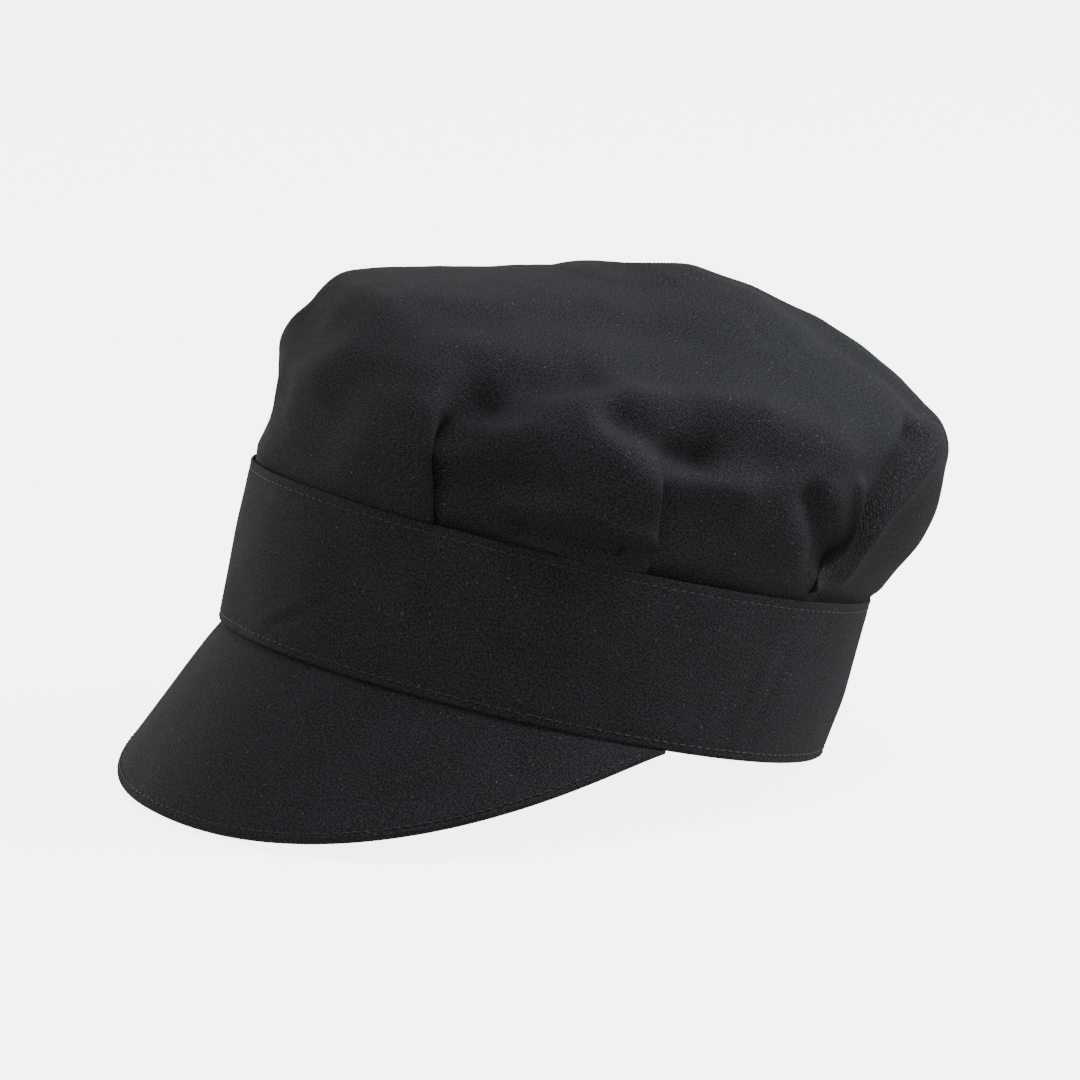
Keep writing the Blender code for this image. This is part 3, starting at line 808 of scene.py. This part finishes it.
held_rows = np.ones(placed.shape[0])
free = smooth_step(height_up.mean(axis=1)[1:] / PRESSED)
held_rows[SEAM_ROWS:] = HOLD + (1 - HOLD) * (1 - free)
held_rows[-TOP_ROWS:] = np.maximum(held_rows[-TOP_ROWS:], np.linspace(HOLD, 1.0, TOP_ROWS))
settle(crown_piece, np.r_[np.repeat(held_rows, placed.shape[1]), 1.0], placed.shape[1])

shell = crown_piece.modifiers.new("thickness", "SOLIDIFY")
shell.thickness, shell.offset = 0.45 * MM, -1.0

# %% [markdown]
# The peak's upper cloth starts behind the hem, runs down over the board and turns under around
# its edge. Each point is a way down the slope from the hem and a lift off it. The peak is
# longest in the middle and dies away along the hem, and its slope is a little flatter at the
# ends, which is what gives it the scooped shape of a shovel.

# %% Points of the peak
PEAK_LENGTH = 57.7 * MM
PEAK_HALF_SPAN = 87.0
PEAK_SLOPE, PEAK_SIDE_SLOPE = 67.0, 58.0
PEAK_FORWARD = 0.45
PEAK_STACK = 3.4 * MM
PEAK_SHORTEST = 0.8 * MM


def peak_reach(share):
    return PEAK_LENGTH * np.maximum(1 - np.abs(share) ** 2.5, 0) ** 1.25


def inside_edge(phi, inset):
    """The way down the slope to a line this far inside the peak's edge."""
    share = np.abs(phi) / PEAK_HALF_SPAN
    change = (peak_reach(share + 0.001) - peak_reach(share - 0.001)) / 0.002
    return peak_reach(share) - inset * np.hypot(1, change / (PEAK_HALF_SPAN * PER_DEGREE))


def peak_point(phi, down, lift):
    """Points down the slope of the peak, raised off its upper face."""
    phi, down, lift = np.broadcast_arrays(np.asarray(phi, float), down, lift)
    angle = np.radians(phi)
    radial = np.stack([TOP_A * np.sin(angle), -TOP_B * np.cos(angle), 0 * angle], axis=-1)
    radial /= np.linalg.norm(radial, axis=-1, keepdims=True)
    heading = radial * (1 - PEAK_FORWARD) + np.array([0, -PEAK_FORWARD, 0])
    heading /= np.linalg.norm(heading, axis=-1, keepdims=True)
    bend = PEAK_SIDE_SLOPE - PEAK_SLOPE
    slope = np.radians(PEAK_SLOPE + bend * (phi / PEAK_HALF_SPAN) ** 2)[..., None]
    along = heading * np.cos(slope) - np.array([0, 0, 1.0]) * np.sin(slope)
    across = oval(phi + 0.5, 0, 0) - oval(phi - 0.5, 0, 0)
    normal = np.cross(across, along)
    normal /= np.linalg.norm(normal, axis=-1, keepdims=True)
    normal *= np.sign(normal[..., 2:3])
    return oval(phi, 0, 0) + along * down[..., None] + normal * lift[..., None]


shares = np.linspace(0, 1, 2001)
peak_end = PEAK_HALF_SPAN * shares[peak_reach(shares) >= PEAK_SHORTEST].max()
print(f"peak {PEAK_LENGTH / MM:.1f} mm long, sewn to {2 * peak_end:.0f} degrees of the hem")

# %% [markdown]
# Near its ends the peak is only a few millimetres long, so the roll of its edge gets smaller
# with it.

# %% The peak's cloths
PEAK_COLUMNS = 260
PEAK_ROWS = 44
PEAK_TUCK, PEAK_SINK = 1.2 * MM, 1.1 * MM

peak_phi = np.linspace(-peak_end, peak_end, PEAK_COLUMNS)
full_reach = peak_reach(peak_phi / PEAK_HALF_SPAN)
roll = np.minimum(PEAK_STACK / 2, full_reach * 0.34)
down_rows, lift_rows, map_rows = [], [], []
for share in np.linspace(0.0, 1.0, PEAK_ROWS):
    down = (full_reach - roll) * share - PEAK_TUCK * (1 - share) ** 8
    edge = np.maximum(inside_edge(peak_phi, 0), 0)
    relief = drawn_in((edge - down) - STITCH_INSET, peak_phi * PER_DEGREE, 0.24 * MM)
    relief = relief * smooth_step(full_reach / (14 * MM))
    relief = relief + 0.11 * MM * rumple(peak_phi * PER_DEGREE + 7 * MM, down) * share
    down_rows.append(down)
    lift_rows.append(relief - PEAK_SINK * (1 - share) ** 8)
    map_rows.append(down)
for turn_down in np.radians(np.linspace(0, 180, 13)[1:]):
    down_rows.append(full_reach - roll + roll * sin(turn_down))
    lift_rows.append(-roll + roll * cos(turn_down) + 0.05 * MM * rumple(peak_phi * PER_DEGREE, 0))
    map_rows.append(full_reach - roll + roll * turn_down)
for back in (2.0, 5.0):
    down_rows.append(full_reach - roll - np.minimum(back * MM, 0.5 * full_reach))
    lift_rows.append(-2 * roll + 0.25 * MM)
    map_rows.append(full_reach + roll * 2 + back * MM)
peak_grid = peak_point(peak_phi[None, :], np.array(down_rows), np.array(lift_rows))
peak_map = np.stack([np.broadcast_to(peak_phi * PER_DEGREE, peak_grid.shape[:2]),
                     -np.array(map_rows)], axis=-1)
peak_cloth = add_piece("peak_cloth", grid_mesh("peak_cloth", peak_grid[::-1], peak_map[::-1]),
                       cap_twill, thickness=0.3 * MM,
                       replaces=["peak_upper"])

under_rows = np.linspace(0, 1, 26)[:, None]
under_reach = np.maximum(inside_edge(peak_phi, 1.3 * MM), 0.4 * MM)
under_down = under_reach * under_rows
under_lift = -np.minimum(PEAK_STACK, 2 * roll + 0.2 * MM) + 0 * under_rows
under_lift = under_lift + 0.10 * MM * rumple(peak_phi * PER_DEGREE + 3 * MM, under_down)
under_grid = peak_point(peak_phi[None, :], under_down, under_lift)
under_map = np.stack([np.broadcast_to(peak_phi * PER_DEGREE, under_grid.shape[:2]),
                      under_down], axis=-1)
peak_lining = add_piece("peak_under_cloth", grid_mesh("peak_under_cloth", under_grid, under_map),
                        lining_cotton, thickness=-0.3 * MM,
                        replaces=["peak_under"])
print("peak cloths", len(peak_cloth.data.polygons) + len(peak_lining.data.polygons), "faces")

# %% [markdown]
# A row of machine stitches is not a line. Each stitch is a short piece of thread that comes out
# of one hole and dives into the next, with a gap between, and dips at both ends. One small
# capsule is copied along the row, a hundred or more times, into a single mesh. The row lies on
# the cloth by construction, because its points come from the same functions as the cloth.

# %% Stitches
STITCH_PITCH = 3.0 * MM
STITCH_LENGTH = 2.35 * MM
STITCH_RADIUS = 0.21 * MM
STITCH_SIDES = 8

thread = Finish("black sewing thread")
ply = thread.add("ShaderNodeTexNoise", {"Scale": 2600.0, "Detail": 2.0, "Roughness": 0.6})
shade = thread.ramp(ply.outputs["Fac"], 0.35, 0.65)
thread_bump = thread.add("ShaderNodeBump", {"Height": ply.outputs["Fac"],
                                            "Distance": 0.06 * MM, "Strength": 0.8})
thread.surface(Base_Color=thread.blend(shade, (0.0070, 0.0075, 0.008), (0.026, 0.028, 0.031)),
               Roughness=0.48, Normal=thread_bump.outputs["Normal"], Sheen_Weight=0.02)
black_thread = thread.material


def resample(points, pitch):
    """Points at an even spacing along a line, with the direction of the line at each."""
    place = np.r_[0, np.cumsum(np.linalg.norm(np.diff(points, axis=0), axis=1))]
    count = max(int(place[-1] / pitch), 1)
    even_place = (np.arange(count) + 0.5) * place[-1] / count

    def read(where):
        return np.stack([np.interp(where, place, points[:, axis]) for axis in range(3)], axis=1)

    direction = read(even_place + 0.3 * MM) - read(even_place - 0.3 * MM)
    return read(even_place), direction / np.linalg.norm(direction, axis=1, keepdims=True)


def stitch_row(name, points, outward, node, body="cap"):
    """A row of stitches along a line on the cloth; outward points off the cloth."""
    centre, direction = resample(points, STITCH_PITCH)
    line = np.linspace(0, 1, len(points))
    spots = np.linspace(0, 1, len(centre))
    normal = np.stack([np.interp(spots, line, outward[:, axis]) for axis in range(3)], axis=1)
    normal -= direction * (normal * direction).sum(axis=1, keepdims=True)
    normal /= np.linalg.norm(normal, axis=1, keepdims=True)
    side = np.cross(direction, normal)
    wobble = np.sin(np.arange(len(centre)) * 2.399) * 0.08
    rings = np.array([-0.5, -0.44, -0.3, 0.0, 0.3, 0.44, 0.5])
    swell = np.array([0.35, 0.8, 1.0, 1.0, 1.0, 0.8, 0.35])
    dip = np.array([-0.34, -0.16, -0.03, 0.05, -0.03, -0.16, -0.34]) * MM
    around = np.radians(np.linspace(0, 360, STITCH_SIDES, endpoint=False))
    vertices, faces = [], []
    for number in range(len(centre)):
        slant = side[number] * wobble[number]
        axis_line = direction[number] + slant
        start = len(vertices)
        for ring, size, sink in zip(rings, swell, dip):
            middle_point = (centre[number] + axis_line * ring * STITCH_LENGTH
                            + normal[number] * sink)
            for turn_angle in around:
                vertices.append(middle_point + STITCH_RADIUS * size
                                * (side[number] * cos(turn_angle)
                                   + normal[number] * sin(turn_angle)))
        for ring in range(len(rings) - 1):
            low = start + ring * STITCH_SIDES
            high = low + STITCH_SIDES
            for corner in range(STITCH_SIDES):
                after = (corner + 1) % STITCH_SIDES
                faces.append((low + corner, low + after, high + after, high + corner))
        faces.append(tuple(start + corner for corner in reversed(range(STITCH_SIDES))))
        last = start + STITCH_SIDES * (len(rings) - 1)
        faces.append(tuple(last + corner for corner in range(STITCH_SIDES)))
    mesh = bpy.data.meshes.new(name)
    mesh.from_pydata(to_row(np.array(vertices)).tolist(), [], faces)
    mesh.shade_smooth()
    piece = add_piece(name, mesh, black_thread, body, replaces=[node])
    print(name, len(centre), "stitches")
    return piece


def off_oval(phi):
    """The outward direction around the oval."""
    return oval(phi, 1.0, 0.0) - oval(phi, 0.0, 0.0)


row_phi = np.linspace(BAND_START + 1.2, UNDERLAP_END - 1.2, 900)
top_row = BAND_HEIGHT - STITCH_INSET
SIT = 0.10 * MM
for name, z, node in (("band_top_stitches", top_row, "band_top_thread"),
                      ("band_hem_stitches", STITCH_INSET, "band_hem_thread")):
    height = np.full_like(row_phi, z)
    lift = band_relief(row_phi, height) + band_sway(row_phi, height)
    lift = lift + underlap_step(row_phi) + SIT
    stitch_row(name, oval(row_phi, lift, z), off_oval(row_phi), node)

inner = -3.55 * MM - SIT
stitch_row("band_top_inner_stitches", oval(row_phi, inner + ring_step(row_phi), top_row),
           -off_oval(row_phi), "band_top_inner_thread")
stitch_row("band_hem_inner_stitches",
           oval(row_phi, inner - 0.25 * MM + underlap_step(row_phi)
                + band_sway(row_phi, np.full_like(row_phi, STITCH_INSET)), STITCH_INSET),
           -off_oval(row_phi), "band_hem_inner_thread")

edge_end = PEAK_HALF_SPAN * shares[peak_reach(shares) >= 2 * STITCH_INSET].max()
edge_phi = np.linspace(-edge_end, edge_end, 500)
edge_down = inside_edge(edge_phi, STITCH_INSET)
edge_points = peak_point(edge_phi, edge_down, -0.20 * MM + SIT)
edge_normal = peak_point(edge_phi, edge_down, 1.0) - peak_point(edge_phi, edge_down, 0.0)
stitch_row("peak_edge_stitches", edge_points, edge_normal, "peak_edge_thread")
stitch_row("peak_edge_under_stitches",
           peak_point(edge_phi, edge_down, -PEAK_STACK - 0.25 * MM), -edge_normal,
           "peak_edge_under_thread")

# %% [markdown]
# The closing tab is the end of the band's other side: cloth turned around a stiffener, with
# hook tape beneath and rounded corners. It comes out from under the band's folded end, and
# peels away on a fold line close to it. The cloth is one piece, made along the band and not bent
# at the fold.

# %% The closing tab
TAB_LOW, TAB_HIGH = BAND_HEIGHT - 33.5 * MM, BAND_HEIGHT - 3.5 * MM
TAB_CORNER = 7.0 * MM
TAB_TUCK = 5.0 * MM
RIM_INSET = 1.8 * MM
TAB_THICK = 2.6 * MM
BEND_LENGTH = 8.0 * MM


def tab_half_height(distance, length, half, corner=TAB_CORNER):
    """Half the height of the tab at a distance from its root, with rounded corners."""
    past = np.clip(distance - (length - corner), 0, corner)
    return half - corner + np.sqrt(np.maximum(corner ** 2 - past ** 2, 0))


def bend_at_fold(piece):
    """Bake a piece's placement into its mesh; the ends of the fold line are found but not used.
    """
    middle_z = (TAB_LOW + TAB_HIGH) / 2
    start = Vector(to_row(oval(TAB_ROOT, 0, middle_z)))
    stop = Vector(to_row(oval(TAB_ROOT - BEND_LENGTH / PER_DEGREE, 0, middle_z)))
    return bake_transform(piece)


def tab_shell(name, first, last, inset, outer, thick, material, nodes, relief=0.0):
    """A flat closed pad along the band: an outer face, a rounded rim and an inner face."""
    middle_z = (TAB_LOW + TAB_HIGH) / 2
    half = (TAB_HIGH - TAB_LOW) / 2 - inset
    distance = first + (last - first) * (1 - (1 - np.linspace(0, 1, 90)) ** 1.35)
    section = np.radians(np.linspace(90, 450, 73)[:-1])
    flatness = 0.16
    height = np.sign(np.sin(section)) * np.abs(np.sin(section)) ** flatness
    depth = np.sign(np.cos(section)) * np.abs(np.cos(section)) ** 0.9
    half_height = tab_half_height(np.maximum(distance, 0), last, half)
    end = np.clip((last - distance) / (thick * 0.5), 0, 1)
    fatness = np.sqrt(np.maximum(1 - (1 - end) ** 2, 0.02))
    phi = (TAB_ROOT - distance / PER_DEGREE)[None, :]
    z = middle_z + half_height[None, :] * height[:, None]
    outward = outer - thick / 2 + thick / 2 * depth[:, None] * fatness[None, :]
    tucked = smooth_step(-distance / (2.0 * MM) + 0.6)[None, :]
    outward = outward - 1.4 * MM * tucked
    facing = np.clip(depth[:, None], 0, 1)
    to_edge = half_height[None, :] - np.abs(z - middle_z)
    outward = outward + facing * drawn_in(to_edge - RIM_INSET, distance[None, :], 0.2 * MM)
    outward = outward + relief * facing * rumple(distance[None, :] + 11 * MM, z)
    points = oval(phi, outward, z).transpose(1, 0, 2)
    cloth_map = np.stack([np.broadcast_to(phi * PER_DEGREE, z.shape).T, z.T], axis=-1)
    mesh = grid_mesh(name, points[::-1], cloth_map[::-1], closed=True)
    piece = add_piece(name, mesh, material, body=None, replaces=nodes)
    return bend_at_fold(piece)


tab_cloth = tab_shell("tab_cloth", -TAB_TUCK, TAB_LENGTH, 0.0, 0.0, TAB_THICK, cap_twill,
                      ["tab_outer", "tab_lining", "tab_interlining"],
                      relief=0.1 * MM)
print("closing tab", len(tab_cloth.data.polygons), "faces")

# %% [markdown]
# One row of stitches runs around the tab, a little inside its rim.

# %% The tab's stitches
half_tab = (TAB_HIGH - TAB_LOW) / 2
tab_middle = (TAB_HIGH + TAB_LOW) / 2
first_stitch, last_stitch = 3.0 * MM, TAB_LENGTH - RIM_INSET
crowding = 1 - (1 - np.linspace(0, 1, 160)) ** 1.6
out_way = first_stitch + (last_stitch - first_stitch) * crowding
inner_half = tab_half_height(out_way, last_stitch, half_tab - RIM_INSET, TAB_CORNER - RIM_INSET)
outline_way = np.r_[out_way, out_way[::-1]]
outline_z = np.r_[tab_middle + inner_half, tab_middle - inner_half[::-1]]
outline_phi = TAB_ROOT - outline_way / PER_DEGREE
tab_stitches = stitch_row("tab_stitches", oval(outline_phi, 0.0, outline_z),
                          off_oval(outline_phi), "tab_thread", body=None)
bend_at_fold(tab_stitches)

# %% [markdown]
# Hook tape is a hard strip full of tiny hooks and loop tape a soft strip of tangled loops. Both
# are too fine to model one by one, so each strip gets a roughened face: a grid with small bumps
# for the hooks, and an uneven pile for the loops, and then a finish of the same scale.

# %% Hook tape and loop tape
HOOK_PITCH = 1.3 * MM
TAPE_WIDTH = 25.0 * MM
HOOK_LENGTH, LOOP_LENGTH = 40.0 * MM, 52.0 * MM


def tape_finish(name, dark, pale, scale, depth, rough, sheen):
    finish = Finish(name)
    where = finish.add("ShaderNodeUVMap", uv_map="cloth").outputs["UV"]
    tangle = finish.add("ShaderNodeTexNoise", {"Vector": where, "Scale": scale, "Detail": 4.0,
                                               "Roughness": 0.7, "Distortion": 1.5})
    share = finish.ramp(tangle.outputs["Fac"], 0.35, 0.65)
    bump = finish.add("ShaderNodeBump", {"Height": tangle.outputs["Fac"], "Distance": depth,
                                         "Strength": 1.0})
    finish.surface(Base_Color=finish.blend(share, dark, pale), Roughness=rough,
                   Normal=bump.outputs["Normal"], Sheen_Weight=sheen, Sheen_Roughness=0.5)
    return finish.material


hook_nylon = tape_finish("black hook nylon", (0.008, 0.008, 0.009), (0.035, 0.036, 0.038),
                         1400.0, 0.12 * MM, 0.42, 0.0)
loop_pile = tape_finish("black loop pile", (0.010, 0.010, 0.011), (0.045, 0.047, 0.049),
                        900.0, 0.3 * MM, 0.9, 0.4)


def tape(name, first, last, outward, material, bumps, body, node, faces_out):
    """A strip of tape between two angles, with a rough face and bound edges."""
    low, high = tab_middle - TAPE_WIDTH / 2, tab_middle + TAPE_WIDTH / 2
    phi, z = np.meshgrid(np.linspace(first, last, 240), np.linspace(low, high, 112))
    to_side = np.minimum(z - low, high - z)
    to_end = np.minimum(phi - first, last - phi) * PER_DEGREE
    edge = smooth_step(np.minimum(to_side, to_end) / (1.1 * MM))
    face = 0.35 * MM * edge + bumps(phi * PER_DEGREE, z) * smooth_step(
        (np.minimum(to_side, to_end) - 1.0 * MM) / (0.8 * MM))
    sign = 1 if faces_out else -1
    step = underlap_step(phi) if faces_out else 0.0
    points = oval(phi, outward + sign * face + step, z)
    order = slice(None) if faces_out else slice(None, None, -1)
    cloth_map = np.stack([phi * PER_DEGREE, z], axis=-1)
    mesh = grid_mesh(name, points[order], cloth_map[order])
    return add_piece(name, mesh, material, body, thickness=0.4 * MM,
                     replaces=[node])


def hooks(along, up):
    shape = np.cos(2 * pi * along / HOOK_PITCH) * np.cos(2 * pi * up / HOOK_PITCH)
    return 0.22 * MM * np.clip(shape, 0, 1)


def pile(along, up):
    a, u = along / MM, up / MM
    return 0.09 * MM * (np.sin(5.1 * a + 1.9 * np.sin(3.3 * u)) * np.sin(4.3 * u + 1.3 * a)
                        + 0.6 * np.sin(9.7 * a + 7.9 * u))


hook_start = TAB_ROOT - (TAB_LENGTH - STITCH_INSET) / PER_DEGREE
tape("hook_tape_face", hook_start, hook_start + HOOK_LENGTH / PER_DEGREE, -2.75 * MM,
     hook_nylon, hooks, "closure_tab", "hook_tape", faces_out=False)
loop_end = UNDERLAP_END - STITCH_INSET / PER_DEGREE
tape("loop_tape_face", loop_end - LOOP_LENGTH / PER_DEGREE, loop_end, 0.45 * MM, loop_pile, pile,
     "cap", "loop_tape", faces_out=True)

# %% [markdown]
# The board inside the peak is never seen. It keeps its solid, with a plain grey board finish.

# %% The board in the peak
board = Finish("grey fibre board")
fibres = board.add("ShaderNodeTexNoise", {"Scale": 600.0, "Detail": 4.0, "Roughness": 0.7})
board_share = board.ramp(fibres.outputs["Fac"], 0.3, 0.7)
board_bump = board.add("ShaderNodeBump", {"Height": fibres.outputs["Fac"],
                                          "Distance": 0.05 * MM, "Strength": 0.6})
board.surface(Base_Color=board.blend(board_share, (0.05, 0.05, 0.052), (0.10, 0.10, 0.105)),
              Roughness=0.7, Normal=board_bump.outputs["Normal"])
board_node = frame["nodes"]["peak_board"]
if board_node.material_slots:
    board_node.material_slots[0].material = board.material
else:
    board_node.data.materials.append(board.material)

# %% [markdown]
# A plain pale floor and an even surrounding keep the attention on the cap. The floor glows, so
# that it stays pale under light that suits black cloth, and it doesn't light the cap from below.
# Black cloth needs light that rakes along it, so a large soft lamp stands behind the cap to the
# left and draws its edge, one to the right shows the folds, and a third above rounds off the top.

# %% Floor and light
AZIMUTH, ELEVATION = radians(59.8), radians(14.5)
back = Vector((sin(AZIMUTH) * cos(ELEVATION), -cos(AZIMUTH) * cos(ELEVATION), sin(ELEVATION)))
right = Vector((cos(AZIMUTH), sin(AZIMUTH), 0.0))
above = back.cross(right)
rim_centre = Vector(to_row(np.zeros(3)))

floor_mesh = bpy.data.meshes.new("floor")
FLOOR, FLOOR_DROP = 4.0, 0.5 * MM
floor_mesh.from_pydata([(x * FLOOR, y * FLOOR, -FLOOR_DROP)
                        for x, y in ((-1, -1), (1, -1), (1, 1), (-1, 1))], [], [(0, 1, 2, 3)])
floor = bpy.data.objects.new("floor", floor_mesh)
bpy.context.scene.collection.objects.link(floor)
floor_paint = Finish("pale floor")
floor_paint.surface(Base_Color=(0.9, 0.9, 0.9, 1.0), Roughness=0.9, Emission_Strength=5.0)
floor_paint.shader.inputs["Emission Color"].default_value = (1.0, 1.0, 1.0, 1.0)
floor.visible_diffuse = False
floor.visible_glossy = False
floor.data.materials.append(floor_paint.material)

world = bpy.data.worlds.new("pale surround")
bpy.context.scene.world = world
world.use_nodes = True
world.node_tree.nodes["Background"].inputs["Color"].default_value = (1.0, 1.0, 1.0, 1.0)
world.node_tree.nodes["Background"].inputs["Strength"].default_value = 0.67


def lamp(name, side, up, behind, size, power):
    """A soft square lamp, placed as seen from the camera and aimed at the cap."""
    light = bpy.data.lights.new(name, "AREA")
    light.shape = "SQUARE"
    light.size = size
    light.energy = power
    holder = bpy.data.objects.new(name, light)
    aim = rim_centre + Vector((0, 0, 0.06))
    holder.location = aim + right * side + Vector((0, 0, up)) - back * behind
    holder.rotation_mode = "QUATERNION"
    holder.rotation_quaternion = (holder.location - aim).to_track_quat("Z", "Y")
    bpy.context.scene.collection.objects.link(holder)


lamp("left lamp", -1.05, 0.16, 1.25, 0.5, 8.2)
lamp("right lamp", 1.2, 0.80, 0.12, 0.7, 19.0)
lamp("top lamp", 0.15, 1.3, -0.15, 0.6, 6.6)

# %% [markdown]
# A long lens from nearly two metres away keeps the cap free of wide-angle stretch.

# %% Camera
DISTANCE = 1.8
AIM_RIGHT, AIM_UP = 4.6 * MM, 44.0 * MM
lens = bpy.data.cameras.new("camera")
lens.lens = 198.5
lens.sensor_width = 36.0
camera = bpy.data.objects.new("camera", lens)
target = rim_centre + right * AIM_RIGHT + above * AIM_UP
camera.location = rim_centre + back * DISTANCE
camera.rotation_mode = "QUATERNION"
camera.rotation_quaternion = (camera.location - target).to_track_quat("Z", "Y")
bpy.context.scene.collection.objects.link(camera)
bpy.context.scene.camera = camera
